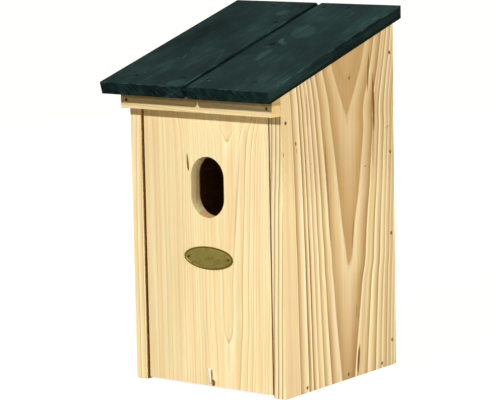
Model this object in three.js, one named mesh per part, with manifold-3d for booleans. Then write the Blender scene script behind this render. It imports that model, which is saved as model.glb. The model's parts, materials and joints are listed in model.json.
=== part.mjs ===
// A bird nest box of nailed softwood boards, with a green roof in two boards and a front
// that hangs on two nails and swings out from its lower end.
// Millimetres. X runs to the right of the front, Y from the front to the back, Z up.
// The origin is the middle of the underside, so the box stands on z = 0.

import * as THREE from 'three';
import { mergeVertices } from 'three/addons/utils/BufferGeometryUtils.js';
import Module from 'manifold-3d';

const wasm = await Module();
wasm.setup();

// Body of the box
const boxWidth = 148;
const boxDepth = 153.5;
const sideFrontHeight = 238;
const sideThickness = 11;
const backThickness = 11;
const floorThickness = 11;

// Roof
const roofSlope = THREE.MathUtils.degToRad(16.1);
const roofThickness = 10;
const roofSideOverhang = 8;
const roofFrontOverhang = 25;
const roofBackOverhang = 0;
const roofJointOffset = 2;
const roofJointGap = 0.4;
const roofChamfer = 2.4;
const roofSeatGap = 0.3;

// Lintel under the roof's front
const lintelThickness = 11;
const lintelFrontHeight = 15.3;

// Swinging front
const doorThickness = 11;
const doorRecess = 0.5;
const doorLeftGap = 2.6;
const doorRightGap = 1.4;
const doorBottomGap = 2.2;
const doorFloorGap = 0.5;
const doorLap = 12.5;
const pivotDrop = 5.9;

// Entrance, with straight sides and round ends
const entranceWidth = 32.5;
const entranceHeight = 48;
const entranceCentreHeight = 160;
const fittingsOffset = 1.1;

// Oval brass plate under the entrance
const plateWidth = 47.5;
const plateHeight = 18;
const plateThickness = 0.8;
const plateCentreHeight = 104.4;
const platePinInset = 4.35;

// Screw hook that holds the front shut
const hookWire = 2.2;
const hookReach = 2.8;
const hookLegLength = 12;
const hookBend = 1.6;
const hookFloorBite = 9;
const hookOffset = 1.6;
const hookLean = THREE.MathUtils.degToRad(3);
const hookRecess = 5.2;
const hookRecessDepth = 1.2;
const hookSwingClearance = 0.85;

// Holes that let water out, and the two that take the wall's screws
const drainDiameter = 5;
const drainInset = 22;
const wallHoleDiameter = 4.5;
const wallHoleInset = 32;

// Nails: a plain brad for the boards, a shorter one for the roof, and a small brass pin
const nailClearance = 0.3;
const nailSet = 0.4;
const brad = { shank: 1.7, head: 2.5, headHeight: 0.8, length: 30, point: 2.2 };
const roofBrad = { shank: 1.7, head: 3.2, headHeight: 0.9, length: 22, point: 2.2 };
const platePin = { shank: 1.1, head: 1.9, headHeight: 0.5, length: 8, point: 1.4 };

// Places along a board, as shares of its length or thickness, from its front, foot or face
const backNailShares = [0.0745, 0.386, 0.622, 0.905];
const floorNailShares = [0.19, 0.557, 0.867];
const floorNailRiseShare = 0.36;
const edgeNailShare = 0.5;
const lintelNailRiseShare = 0.43;
const roofNailLintelShare = 0.3;
const roofNailBackShare = 0.35;
const hookRiseShare = 0.455;

// The roof's nails: the inner ones from the joint of its two boards, the outer ones from the sides
const roofNailJointInset = 12;
const roofNailFrontInset = 16;
const roofNailBackInset = 36;

// Smoothness of round forms, and how far a cut runs past what it cuts
const nailSides = 8;
const holeSides = 20;
const entranceArcSteps = 24;
const plateSteps = 48;
const hookSides = 10;
const hookSteps = 26;
const squareSides = 4;
const overrun = 1;

// Places that several pieces share
const halfWidth = boxWidth / 2;
const innerHalfWidth = halfWidth - sideThickness;
const frontY = -boxDepth / 2;
const backY = boxDepth / 2;
const backInnerY = backY - backThickness;
const lintelFrontY = frontY - lintelThickness;
const sideTopAt = (y) => sideFrontHeight + (y - frontY) * Math.tan(roofSlope);
const lintelBottom = sideTopAt(lintelFrontY) - lintelFrontHeight;
const doorFrontY = frontY + doorRecess;
const doorBackY = doorFrontY + doorThickness;
const doorLeftX = -innerHalfWidth + doorLeftGap;
const doorRightX = innerHalfWidth - doorRightGap;
const doorCentreX = (doorLeftX + doorRightX) / 2;
const doorTop = lintelBottom + doorLap;
const pivotY = (doorFrontY + doorBackY) / 2;
const pivotZ = lintelBottom - pivotDrop;
const floorFrontY = doorBackY + doorFloorGap;
const fittingsX = doorCentreX + fittingsOffset;
const hookX = doorCentreX + hookOffset;
const hookZ = floorThickness * hookRiseShare;

// Finishes
const pine = new THREE.MeshStandardMaterial({ color: 0xf3dca8, roughness: 0.75, metalness: 0 });
const pineSide = new THREE.MeshStandardMaterial({ color: 0xe6c898, roughness: 0.75, metalness: 0 });
const greenStain = new THREE.MeshStandardMaterial({ color: 0x263737, roughness: 0.6, metalness: 0 });
const darkSteel = new THREE.MeshStandardMaterial({ color: 0x4a4238, roughness: 0.5, metalness: 0.8 });
const zinc = new THREE.MeshStandardMaterial({ color: 0xd8d8d4, roughness: 0.35, metalness: 0.9 });
const agedBrass = new THREE.MeshStandardMaterial({ color: 0x827d46, roughness: 0.4, metalness: 0.9 });

/** Welds shared corners and drops the triangles that close to nothing at a lathe's poles. */
function weld(geometry) {
  const bare = geometry.clone();
  bare.deleteAttribute('normal');
  bare.deleteAttribute('uv');
  const welded = mergeVertices(bare);
  const index = welded.index.array;
  const kept = [];
  for (let i = 0; i < index.length; i += 3) {
    const [a, b, c] = [index[i], index[i + 1], index[i + 2]];
    if (a !== b && b !== c && c !== a) kept.push(a, b, c);
  }
  welded.setIndex(kept);
  return welded;
}

/** A closed geometry as a solid that can be joined and cut. */
function solidOf(geometry) {
  const welded = weld(geometry);
  const vertProperties = new Float32Array(welded.attributes.position.array);
  const triVerts = new Uint32Array(welded.index.array);
  return new wasm.Manifold(new wasm.Mesh({ numProp: 3, vertProperties, triVerts }));
}

/** A solid back as a geometry. */
function geometryOf(solid) {
  const mesh = solid.getMesh();
  const geometry = new THREE.BufferGeometry();
  geometry.setAttribute('position', new THREE.BufferAttribute(new Float32Array(mesh.vertProperties), 3));
  geometry.setIndex(new THREE.BufferAttribute(new Uint32Array(mesh.triVerts), 1));
  geometry.computeVertexNormals();
  return geometry;
}

/** A geometry with pieces cut out of it. */
function cut(geometry, cutters) {
  const rest = cutters.reduce((solid, cutter) => solid.subtract(solidOf(cutter)), solidOf(geometry));
  return geometryOf(rest);
}

/** An outline in Y and Z, given as pairs, drawn out along X. Its faces lie exactly at x0 and x1. */
function prism(outline, x0, x1) {
  const shape = new THREE.Shape(outline.map(([y, z]) => new THREE.Vector2(y, z)));
  const geometry = new THREE.ExtrudeGeometry(shape, { depth: 1, bevelEnabled: false, steps: 1 });
  const position = geometry.attributes.position;
  for (let i = 0; i < position.count; i += 1) {
    const [y, z, end] = [position.getX(i), position.getY(i), position.getZ(i)];
    position.setXYZ(i, end > 0 ? x1 : x0, y, z);
  }
  return geometry;
}

/** A board with square ends between two corners. */
function board(x0, x1, y0, y1, z0, z1) {
  return prism([[y0, z0], [y1, z0], [y1, z1], [y0, z1]], x0, x1);
}

/** A board between two heights, with its top on the slope that the roof's seat follows. */
function slopedBoard(x0, x1, y0, y1, z0) {
  return prism([[y0, z0], [y1, z0], [y1, sideTopAt(y1)], [y0, sideTopAt(y0)]], x0, x1);
}

/** Turns a form that points down its own -Y so that it points along a direction from a place. */
function aim(target, place, direction) {
  const turn = new THREE.Quaternion().setFromUnitVectors(new THREE.Vector3(0, -1, 0), direction);
  if (target.isBufferGeometry) {
    const move = new THREE.Matrix4().compose(place, turn, new THREE.Vector3(1, 1, 1));
    return target.applyMatrix4(move);
  }
  target.position.copy(place);
  target.quaternion.copy(turn);
  return target;
}

/** A solid of revolution about Y, from pairs of radius and height. */
function turned(profile, sides) {
  return new THREE.LatheGeometry(profile.map(([radius, y]) => new THREE.Vector2(radius, y)), sides);
}

/** A nail with a flat round head, its face at y = 0, pointing down. */
function nailGeometry({ shank, head, headHeight, length, point }) {
  const profile = [
    [0, -length],
    [shank / 2, -length + point],
    [shank / 2, -headHeight],
    [head / 2, -headHeight],
    [head / 2, 0],
    [0, 0],
  ];
  return weld(turned(profile, nailSides));
}

/** The space that a nail takes in the wood, from above the surface down past its point. */
function nailPocket({ shank, head, headHeight, length }, sunk) {
  const wide = head / 2 + nailClearance;
  const narrow = shank / 2 + nailClearance;
  const step = -headHeight - nailClearance;
  const profile = [
    [0, -length - nailClearance],
    [narrow, -length - nailClearance],
    [narrow, step],
    [wide, step],
    [wide, sunk + overrun],
    [0, sunk + overrun],
  ];
  return turned(profile, nailSides);
}

/** A round hole from a place, of a given depth, that starts a little outside the surface. */
function drill(place, direction, diameter, depth) {
  const profile = [[0, -depth], [diameter / 2, -depth], [diameter / 2, overrun], [0, overrun]];
  return aim(turned(profile, holeSides), place, direction);
}

/** A nail driven at a place on a surface and sunk a little, with the pocket that it needs. */
function drivenNail(name, kind, surface, direction, material, sunk = nailSet) {
  const place = surface.clone().addScaledVector(direction, sunk);
  const mesh = new THREE.Mesh(nailGeometry(kind), material);
  mesh.name = name;
  aim(mesh, place, direction);
  return { mesh, pocket: () => aim(nailPocket(kind, sunk), place, direction) };
}

/** A named mesh of one finish. */
function piece(name, geometry, material) {
  const mesh = new THREE.Mesh(geometry, material);
  mesh.name = name;
  return mesh;
}

const pocketsOf = (nails) => nails.map((nail) => nail.pocket());
const sides = [{ name: 'left', sign: -1 }, { name: 'right', sign: 1 }];

/** The nails that go in through one side panel: down the back, along the floor, and the pivot. */
function sideNails({ name, sign }) {
  const inward = new THREE.Vector3(-sign, 0, 0);
  const at = (y, z) => new THREE.Vector3(sign * halfWidth, y, z);
  const backNailY = backY - backThickness * edgeNailShare;
  const back = backNailShares.map((share, i) => {
    const surface = at(backNailY, sideTopAt(backY) * share);
    return drivenNail(`back_nail_${name}_${i + 1}`, brad, surface, inward, darkSteel);
  });
  const floor = floorNailShares.map((share, i) => {
    const surface = at(frontY + boxDepth * share, floorThickness * floorNailRiseShare);
    return drivenNail(`floor_nail_${name}_${i + 1}`, brad, surface, inward, darkSteel);
  });
  const pivot = drivenNail(`pivot_nail_${name}`, brad, at(pivotY, pivotZ), inward, darkSteel);
  return { back, floor, pivot };
}

/** The nail that holds one end of the lintel on the front edge of a side panel. */
function lintelNail({ name, sign }) {
  const x = sign * (halfWidth - sideThickness * edgeNailShare);
  const z = lintelBottom + lintelFrontHeight * lintelNailRiseShare;
  const surface = new THREE.Vector3(x, lintelFrontY, z);
  return drivenNail(`lintel_nail_${name}`, brad, surface, new THREE.Vector3(0, 1, 0), darkSteel);
}

/** The roof's own frame: Y up the slope from the box's front, Z square out of the seat. */
function roofGroup() {
  const group = new THREE.Group();
  group.rotation.x = roofSlope;
  group.position.set(0, frontY, sideFrontHeight + roofSeatGap / Math.cos(roofSlope));
  group.updateMatrixWorld();
  return group;
}

/** The roof's four nails on each board, in the roof's frame. */
function roofNails() {
  const rows = [
    { row: 'front', y: lintelFrontY + lintelThickness * roofNailLintelShare, inset: roofNailFrontInset },
    { row: 'back', y: backInnerY + backThickness * roofNailBackShare, inset: roofNailBackInset },
  ];
  const down = new THREE.Vector3(0, 0, -1);
  return rows.flatMap(({ row, y, inset }) => sides.flatMap(({ name, sign }) =>
    [roofJointOffset + sign * roofNailJointInset, sign * (halfWidth - inset)].map((x, i) => {
      const surface = new THREE.Vector3(x, (y - frontY) / Math.cos(roofSlope), roofThickness);
      const nail = drivenNail(`roof_nail_${name}_${row}_${i + 1}`, roofBrad, surface, down, greenStain);
      return { ...nail, side: name };
    })));
}

/** One roof board in the roof's frame: square at the front, plumb at the back. */
function roofBoard({ name, sign }, nails) {
  const inner = roofJointOffset + sign * roofJointGap / 2;
  const outer = sign * (halfWidth + roofSideOverhang);
  const plumb = (z) => (boxDepth + roofBackOverhang + z * Math.sin(roofSlope)) / Math.cos(roofSlope);
  const outline = [
    [-roofFrontOverhang, 0],
    [plumb(0), 0],
    [plumb(roofThickness), roofThickness],
    [-roofFrontOverhang, roofThickness],
  ];
  const blank = prism(outline, Math.min(inner, outer), Math.max(inner, outer));
  const rodLength = 2 * plumb(roofThickness);
  const chamfers = [0, roofThickness].map((z) =>
    new THREE.CylinderGeometry(roofChamfer, roofChamfer, rodLength, squareSides).translate(inner, 0, z));
  const pockets = pocketsOf(nails.filter((nail) => nail.side === name));
  return piece(`roof_board_${name}`, cut(blank, [...chamfers, ...pockets]), greenStain);
}

/** One side panel, with its sloped top. */
function sidePanel({ name, sign }, pockets) {
  const [x0, x1] = sign < 0 ? [-halfWidth, -innerHalfWidth] : [innerHalfWidth, halfWidth];
  const blank = slopedBoard(x0, x1, frontY, backY, 0);
  return piece(`side_panel_${name}`, cut(blank, pockets), pineSide);
}

/** The back, between the side panels, with a hole near each end for a screw into the wall. */
function backPanel(pockets) {
  const blank = slopedBoard(-innerHalfWidth, innerHalfWidth, backInnerY, backY, 0);
  const forward = new THREE.Vector3(0, -1, 0);
  const wallHoles = [wallHoleInset, sideTopAt(backInnerY) - wallHoleInset].map((z) =>
    drill(new THREE.Vector3(0, backY, z), forward, wallHoleDiameter, backThickness + overrun));
  return piece('back_panel', cut(blank, [...pockets, ...wallHoles]), pine);
}

/** The floor, between the side panels and in front of the back, with its four drain holes. */
function floorPanel(pockets) {
  const blank = board(-innerHalfWidth, innerHalfWidth, floorFrontY, backInnerY, 0, floorThickness);
  const up = new THREE.Vector3(0, 0, 1);
  const drainXs = [-innerHalfWidth + drainInset, innerHalfWidth - drainInset];
  const drainYs = [floorFrontY + drainInset, backInnerY - drainInset];
  const drains = drainXs.flatMap((x) => drainYs.map((y) =>
    drill(new THREE.Vector3(x, y, 0), up, drainDiameter, floorThickness + overrun)));
  const hookHole = drill(
    new THREE.Vector3(hookX, floorFrontY, hookZ),
    new THREE.Vector3(0, 1, 0),
    hookWire + 2 * hookSwingClearance,
    hookFloorBite + nailClearance,
  );
  return piece('floor_panel', cut(blank, [...pockets, ...drains, hookHole]), pine);
}

/** The lintel, nailed across the front edges of the side panels, its top planed to the slope. */
function lintel(pockets) {
  const blank = slopedBoard(-halfWidth, halfWidth, lintelFrontY, frontY, lintelBottom);
  return piece('lintel', cut(blank, pockets), pine);
}

/** The entrance as a cutter: straight sides between two half rounds, right through the front. */
function entranceCutter() {
  const radius = entranceWidth / 2;
  const straight = entranceHeight / 2 - radius;
  const shape = new THREE.Shape();
  shape.absarc(0, straight, radius, 0, Math.PI, false);
  shape.absarc(0, -straight, radius, Math.PI, 2 * Math.PI, false);
  const geometry = new THREE.ExtrudeGeometry(shape, {
    depth: doorThickness + 2 * overrun,
    bevelEnabled: false,
    curveSegments: entranceArcSteps,
  });
  geometry.rotateX(Math.PI / 2);
  return geometry.translate(fittingsX, doorBackY + overrun, entranceCentreHeight);
}

/** The swinging front, with its entrance and the recessed hole that the hook turns in. */
function doorPanel(pockets) {
  const blank = board(doorLeftX, doorRightX, doorFrontY, doorBackY, doorBottomGap, doorTop);
  const inward = new THREE.Vector3(0, 1, 0);
  const mouth = new THREE.Vector3(hookX, doorFrontY, hookZ);
  const hookHole = drill(mouth, inward, hookWire + 2 * nailClearance, doorThickness + overrun);
  const recess = drill(mouth, inward, hookRecess, hookRecessDepth);
  return piece('front_panel', cut(blank, [...pockets, entranceCutter(), hookHole, recess]), pine);
}

/** The two brass pins of the oval plate. */
function platePins() {
  const reach = plateWidth / 2 - platePinInset;
  const inward = new THREE.Vector3(0, 1, 0);
  const faceY = doorFrontY - plateThickness - platePin.headHeight - nailClearance;
  return sides.map(({ name, sign }) => {
    const surface = new THREE.Vector3(fittingsX + sign * reach, faceY, plateCentreHeight);
    return drivenNail(`plate_pin_${name}`, platePin, surface, inward, agedBrass, 0);
  });
}

/** The oval plate, flat on the front, with a hole for each pin. */
function ovalPlate(pins) {
  const shape = new THREE.Shape();
  shape.absellipse(0, 0, plateWidth / 2, plateHeight / 2, 0, 2 * Math.PI, false, 0);
  const blank = new THREE.ExtrudeGeometry(shape, {
    depth: plateThickness,
    bevelEnabled: false,
    curveSegments: plateSteps,
  });
  blank.rotateX(Math.PI / 2);
  blank.translate(fittingsX, doorFrontY, plateCentreHeight);
  return piece('oval_plate', cut(blank, pocketsOf(pins)), agedBrass);
}

/** The hook: a shank through the front into the floor, bent up into a short leg outside. */
function screwHook() {
  const legY = -doorThickness - hookReach;
  const shankEnd = new THREE.Vector3(0, doorFloorGap + hookFloorBite, 0);
  const bendStart = new THREE.Vector3(0, legY + hookBend, 0);
  const corner = new THREE.Vector3(0, legY, 0);
  const bendEnd = new THREE.Vector3(0, legY, hookBend);
  const legTop = new THREE.Vector3(0, legY, hookLegLength);
  const path = new THREE.CurvePath();
  path.add(new THREE.LineCurve3(shankEnd, bendStart));
  path.add(new THREE.QuadraticBezierCurve3(bendStart, corner, bendEnd));
  path.add(new THREE.LineCurve3(bendEnd, legTop));
  const section = new THREE.Shape();
  section.absarc(0, 0, hookWire / 2, 0, 2 * Math.PI, false);
  const wire = new THREE.ExtrudeGeometry(section, {
    steps: hookSteps,
    curveSegments: hookSides,
    extrudePath: path,
  });
  const mesh = piece('screw_hook', weld(wire), zinc);
  mesh.position.set(hookX, doorBackY, hookZ);
  mesh.rotation.y = -hookLean;
  return mesh;
}

/** The whole box. */
function nestBox() {
  const box = new THREE.Group();
  const roof = roofGroup();
  const nailsOfRoof = roofNails();
  const nailsOfSides = sides.map(sideNails);
  const nailsOfLintel = sides.map(lintelNail);
  const pins = platePins();
  const roofPockets = (row) => nailsOfRoof
    .filter(({ mesh }) => mesh.name.includes(row))
    .map((nail) => nail.pocket().applyMatrix4(roof.matrixWorld));

  sides.forEach((side, i) => {
    const { back, floor, pivot } = nailsOfSides[i];
    box.add(sidePanel(side, pocketsOf([...back, ...floor, pivot, nailsOfLintel[i]])));
    roof.add(roofBoard(side, nailsOfRoof));
  });
  box.add(backPanel([...nailsOfSides.flatMap(({ back }) => pocketsOf(back)), ...roofPockets('back')]));
  box.add(floorPanel(nailsOfSides.flatMap(({ floor }) => pocketsOf(floor))));
  box.add(lintel([...pocketsOf(nailsOfLintel), ...roofPockets('front')]));
  box.add(doorPanel([...nailsOfSides.map(({ pivot }) => pivot.pocket()), ...pocketsOf(pins)]));
  box.add(ovalPlate(pins));
  box.add(screwHook());
  const nailsOfBox = nailsOfSides.flatMap(({ back, floor, pivot }) => [...back, ...floor, pivot]);
  box.add(...nailsOfBox.map(({ mesh }) => mesh));
  box.add(...nailsOfLintel.map(({ mesh }) => mesh));
  box.add(...pins.map(({ mesh }) => mesh));
  roof.add(...nailsOfRoof.map(({ mesh }) => mesh));
  box.add(roof);
  return box;
}

export default nestBox();
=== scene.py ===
"""Dresses the frame of a bird nest box: softwood boards, a green stained roof, brass and zinc.

The frame's axes hold: X to the right of the front, Y to the back, Z up. Shapes and patterns are
worked out in millimetres, and a finished piece's mesh is in metres.
"""

import json
import logging
import math
import random
from dataclasses import dataclass, field, replace
from enum import Enum
from typing import Callable, Optional, Sequence, Union

import bmesh
import bpy
from mathutils import Matrix, Vector

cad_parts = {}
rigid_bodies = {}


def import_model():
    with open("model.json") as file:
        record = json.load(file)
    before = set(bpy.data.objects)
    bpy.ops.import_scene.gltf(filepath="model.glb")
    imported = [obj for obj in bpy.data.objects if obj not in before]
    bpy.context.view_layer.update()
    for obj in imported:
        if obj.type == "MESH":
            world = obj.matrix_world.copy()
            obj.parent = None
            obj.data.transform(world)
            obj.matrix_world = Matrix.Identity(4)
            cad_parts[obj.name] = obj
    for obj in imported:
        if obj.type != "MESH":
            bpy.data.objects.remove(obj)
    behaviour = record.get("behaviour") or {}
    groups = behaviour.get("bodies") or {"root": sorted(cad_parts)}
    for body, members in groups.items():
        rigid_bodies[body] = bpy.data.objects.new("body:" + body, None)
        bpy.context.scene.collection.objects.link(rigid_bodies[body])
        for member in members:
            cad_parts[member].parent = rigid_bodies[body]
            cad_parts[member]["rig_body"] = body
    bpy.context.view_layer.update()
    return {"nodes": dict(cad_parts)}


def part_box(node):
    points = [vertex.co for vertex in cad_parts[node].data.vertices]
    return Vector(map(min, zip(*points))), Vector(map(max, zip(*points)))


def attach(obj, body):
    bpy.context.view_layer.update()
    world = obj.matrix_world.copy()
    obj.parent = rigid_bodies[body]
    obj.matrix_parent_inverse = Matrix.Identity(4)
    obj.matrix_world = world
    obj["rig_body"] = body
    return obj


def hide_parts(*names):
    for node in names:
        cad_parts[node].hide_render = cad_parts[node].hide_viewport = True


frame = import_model()

LOG = logging.getLogger("nest_box")
MM = 0.001
ROOF_SLOPE = math.radians(16.1)
# An edge that turns more than the first is sharp. One that turns less than the second lies in a flat face.
SHARP_TURN = math.radians(40)
FLAT_TURN = math.radians(0.6)
# Corners nearer than this are one, in millimetres: in a CAD node's mesh, and in a turned one.
CAD_DOUBLES = 0.001
DOUBLES = 0.0005
# A face is square to a direction from this cosine on.
SQUARE_ON = 0.9999

Point = tuple[float, float, float]
Colour = tuple[float, float, float, float]
Operand = Union["Value", float]
Pairs = tuple[tuple[float, float], ...]
Stops = Sequence[tuple[float, Colour]]


def display(red: int, green: int, blue: int) -> Colour:
    """An 8-bit colour as a screen shows it, as the linear colour that a shader takes."""
    def linear(level: int) -> float:
        """One channel, by the curve of the sRGB standard."""
        share = level / 255
        return share / 12.92 if share <= 0.04045 else ((share + 0.055) / 1.055) ** 2.4
    return (linear(red), linear(green), linear(blue), 1.0)


WHITE = display(255, 255, 255)


class Side(Enum):
    """The two hands of the box, as signs along X."""

    LEFT = -1
    RIGHT = 1


class Blend(Enum):
    """How two colours are mixed."""

    MIX = "MIX"
    MULTIPLY = "MULTIPLY"


class Value:
    """What a shader node gives, with arithmetic that adds the nodes for it."""

    def __init__(self, shader: "Shader", socket: bpy.types.NodeSocket) -> None:
        """Wraps one output socket of a shader's tree."""
        self.shader = shader
        self.socket = socket

    def __add__(self, other: Operand) -> "Value":
        """Sum."""
        return self.shader.maths("ADD", self, other)

    def __radd__(self, other: Operand) -> "Value":
        """Sum with a number on the left."""
        return self.shader.maths("ADD", other, self)

    def __sub__(self, other: Operand) -> "Value":
        """Difference."""
        return self.shader.maths("SUBTRACT", self, other)

    def __rsub__(self, other: Operand) -> "Value":
        """Difference with a number on the left."""
        return self.shader.maths("SUBTRACT", other, self)

    def __mul__(self, other: Operand) -> "Value":
        """Product."""
        return self.shader.maths("MULTIPLY", self, other)

    def __rmul__(self, other: Operand) -> "Value":
        """Product with a number on the left."""
        return self.shader.maths("MULTIPLY", other, self)

    def __truediv__(self, other: Operand) -> "Value":
        """Quotient."""
        return self.shader.maths("DIVIDE", self, other)

    def __rtruediv__(self, other: Operand) -> "Value":
        """Quotient with a number on the left."""
        return self.shader.maths("DIVIDE", other, self)


class Shader:
    """The node tree of a material or of the world, written as expressions."""

    def __init__(self, owner: Union[bpy.types.Material, bpy.types.World]) -> None:
        """Empties the tree, to start anew.

        Args:
            owner: the material or world whose tree it is.
        """
        owner.use_nodes = True
        self.owner = owner
        self.tree = owner.node_tree
        self.tree.nodes.clear()

    @classmethod
    def named(cls, name: str) -> "Shader":
        """The shader of a new material."""
        return cls(bpy.data.materials.new(name))

    def node(self, kind: str, settings: dict, inputs: dict) -> bpy.types.Node:
        """Makes any node.

        Args:
            kind: the node's type.
            settings: its own options, set first. "stops" fills a colour ramp and "points" a curve.
            inputs: a value or a link for each socket, by name or number.

        Returns:
            The node.
        """
        node = self.tree.nodes.new(kind)
        for name, setting in settings.items():
            if name == "stops":
                self._fill_ramp(node, setting)
            elif name == "points":
                self._fill_curve(node, setting)
            else:
                setattr(node, name, setting)
        for key, given in inputs.items():
            if isinstance(given, Value):
                self.tree.links.new(given.socket, node.inputs[key])
            else:
                node.inputs[key].default_value = given
        return node

    @staticmethod
    def _fill_ramp(node: bpy.types.Node, stops: Stops) -> None:
        """Gives a colour ramp its stops.

        Args:
            node: the ramp's node.
            stops: pairs of position and colour.
        """
        elements = node.color_ramp.elements
        while len(elements) < len(stops):
            elements.new(1.0)
        for element, (position, colour) in zip(elements, stops):
            element.position = position
            element.color = colour

    @staticmethod
    def _fill_curve(node: bpy.types.Node, points: Sequence[tuple[float, float]]) -> None:
        """Gives a float curve its points.

        Args:
            node: the curve's node.
            points: pairs from 0 to 1.
        """
        curve = node.mapping.curves[0]
        while len(curve.points) < len(points):
            curve.points.new(0.5, 0.5)
        for point, place in zip(curve.points, points):
            point.location = place
        node.mapping.update()

    def value(self, node: bpy.types.Node, output: Union[int, str] = 0) -> Value:
        """One output of a node."""
        return Value(self, node.outputs[output])

    def maths(self, operation: str, *operands: Operand) -> Value:
        """A Math node on values or numbers."""
        node = self.node("ShaderNodeMath", {"operation": operation}, dict(enumerate(operands)))
        return self.value(node)

    def smooth(self, value: Value, low: float, high: float) -> Value:
        """A share that rises smoothly from 0 to 1.

        Args:
            value: the value to look up.
            low: where it is 0.
            high: where it is 1. With low above high it falls.

        Returns:
            The share.
        """
        inputs = {"Value": value, "From Min": min(low, high), "From Max": max(low, high)}
        node = self.node("ShaderNodeMapRange", {"interpolation_type": "SMOOTHSTEP"}, inputs)
        rise = self.value(node)
        return rise if low < high else 1 - rise

    def curve(self, value: Value, points: Sequence[tuple[float, float]], straight: bool = False) -> Value:
        """A line through pairs of value and result.

        Args:
            value: the value to look up.
            points: the pairs, in their own units.
            straight: whether straight lines join them in place of a smooth one.

        Returns:
            The result.
        """
        (x0, x1), (y0, y1) = [(min(axis), max(axis)) for axis in zip(*points)]
        shares = [((x - x0) / (x1 - x0), (y - y0) / (y1 - y0)) for x, y in points]
        node = self.node("ShaderNodeFloatCurve", {"points": shares}, {"Value": (value - x0) / (x1 - x0)})
        for point in node.mapping.curves[0].points:
            point.handle_type = "VECTOR" if straight else "AUTO_CLAMPED"
        node.mapping.update()
        return self.value(node) * (y1 - y0) + y0

    def vector(self, operation: str, inputs: dict) -> Value:
        """A Vector Math node."""
        return self.value(self.node("ShaderNodeVectorMath", {"operation": operation}, inputs))

    def stretched(self, where: Value, lengths: Point, seed: float) -> Value:
        """A place in millimetres divided by the wavelengths of a pattern, and shifted by a seed."""
        shift = (seed * 13.1, seed * 7.7, seed * 3.3)
        return self.vector("ADD", {0: self.vector("DIVIDE", {0: where, 1: lengths}), 1: shift})

    def noise(self, where: Value, lengths: Point, seed: float, detail: float = 2.0,
              roughness: float = 0.5) -> Value:
        """Cloudy noise from 0 to 1 with a wavelength along each axis."""
        inputs = {"Vector": self.stretched(where, lengths, seed), "Scale": 1.0, "Detail": detail,
                  "Roughness": roughness}
        return self.value(self.node("ShaderNodeTexNoise", {}, inputs))

    def blend(self, factor: Operand, first: Union[Value, Colour], second: Union[Value, Colour],
              how: Blend = Blend.MIX) -> Value:
        """Mixes two colours by a factor from 0 to 1."""
        node = self.node("ShaderNodeMix", {"data_type": "RGBA", "blend_type": how.value},
                         {0: factor, 6: first, 7: second})
        return self.value(node, 2)

    def shade(self, colour: Value, level: Value) -> Value:
        """Multiplies a colour by a grey level."""
        return self.blend(1.0, colour, level, Blend.MULTIPLY)

    def ramp(self, value: Value, stops: Stops) -> Value:
        """A colour that changes with a value."""
        return self.value(self.node("ShaderNodeValToRGB", {"stops": stops}, {0: value}))

    def mark(self, name: str) -> Value:
        """A number that the piece's own faces or corners carry."""
        return self.value(self.node("ShaderNodeAttribute", {"attribute_name": name}, {}), "Fac")

    def place(self) -> Value:
        """The place on the piece, in millimetres of the frame."""
        found = self.value(self.node("ShaderNodeTexCoord", {}, {}), "Object")
        return self.vector("SCALE", {0: found, "Scale": 1 / MM})

    def parts(self, vector: Value) -> tuple[Value, Value, Value]:
        """The three parts of a vector."""
        node = self.node("ShaderNodeSeparateXYZ", {}, {0: vector})
        return tuple(self.value(node, i) for i in range(3))

    def bump(self, height: Value, relief: float) -> Value:
        """A normal that follows a height from 0 to 1, where 1 is so many millimetres tall."""
        inputs = {"Strength": 1.0, "Distance": relief * MM, "Height": height}
        return self.value(self.node("ShaderNodeBump", {}, inputs))

    def finish(self, **inputs: Union[Value, Colour, float]) -> bpy.types.Material:
        """Ends the tree in a Principled shader.

        Args:
            **inputs: its sockets, named with _ for a space.

        Returns:
            The material.
        """
        named = {name.replace("_", " "): given for name, given in inputs.items()}
        surface = self.node("ShaderNodeBsdfPrincipled", {}, named)
        self.node("ShaderNodeOutputMaterial", {}, {"Surface": self.value(surface)})
        return self.owner


@dataclass(frozen=True)
class Knot:
    """A knot in a board's face, in millimetres of the cut's own axes.

    Attributes:
        across: its place across the board.
        along: its place along the grain.
        radius: half its width. It is half as long again along the grain.
        pull: how far the rings bulge round it.
        reach: how far from its middle they do.
        dark: how dark its middle is, from 0 to 1.
    """

    across: float
    along: float
    radius: float
    pull: float
    reach: float
    dark: float


@dataclass(frozen=True)
class Spot:
    """A small soft mark in a board's face, in millimetres of the cut's own axes. Some spots are painted
    shade.

    Attributes:
        across: its place across the board.
        along: its place along the grain.
        wide: half its width.
        tall: half its length along the grain.
        amount: how strongly it shows: brown on bare wood, and on stain lighter, or darker if negative.
        lean: how far it leans across for each unit along.
    """

    across: float
    along: float
    wide: float
    tall: float
    amount: float
    lean: float = 0.0


def grown(seed: int, mean: float, first: float, last: float, darkest: float = 1.0) -> Pairs:
    """Rings as a tree might have grown them.

    Args:
        seed: what fixes the chances.
        mean: the rings' mean width in millimetres.
        first: where the first ring ends.
        last: where to stop.
        darkest: how dark the darkest ring may be.

    Returns:
        Pairs of the distance where a ring ends and how dark it is there.
    """
    chance = random.Random(seed)
    rings = []
    reach = first
    while reach < last:
        rings.append((reach, chance.uniform(0.25, 1.0) * darkest))
        reach += mean * chance.uniform(0.5, 1.5)
    return tuple(rings)


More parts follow.
